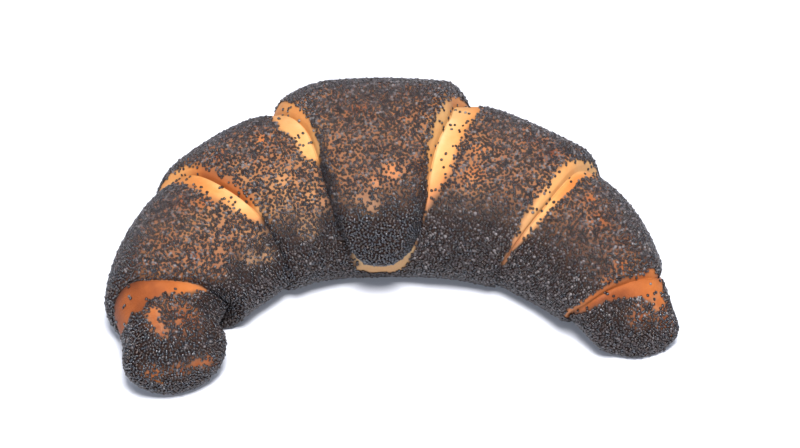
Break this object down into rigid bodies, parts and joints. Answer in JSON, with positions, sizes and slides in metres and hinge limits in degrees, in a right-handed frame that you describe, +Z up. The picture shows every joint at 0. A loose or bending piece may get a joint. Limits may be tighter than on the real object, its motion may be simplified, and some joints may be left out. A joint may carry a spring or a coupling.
{
  "type": "poppy seed crescent roll",
  "caption": "Crescent-shaped bread roll of rolled-up dough, with overlapping wraps, a tongue over the middle, bare creases and a coat of poppy seeds, on a flat underside.",
  "frame": {"origin": "on the flat underside, under the middle of the outline seen from above", "axes": "+X from the left horn to the right horn, +Y to the rounded back and -Y the side that the horns point to, +Z up"},
  "size_m": [0.176, 0.1112, 0.0485],
  "materials": {
    "poppy_crust": "baked golden crust, densely covered with blue-black poppy seeds, bare and cream to orange along the creases"
  },
  "bodies": {
    "root": {"crescent": "poppy_crust"}
  },
  "joints": []
}
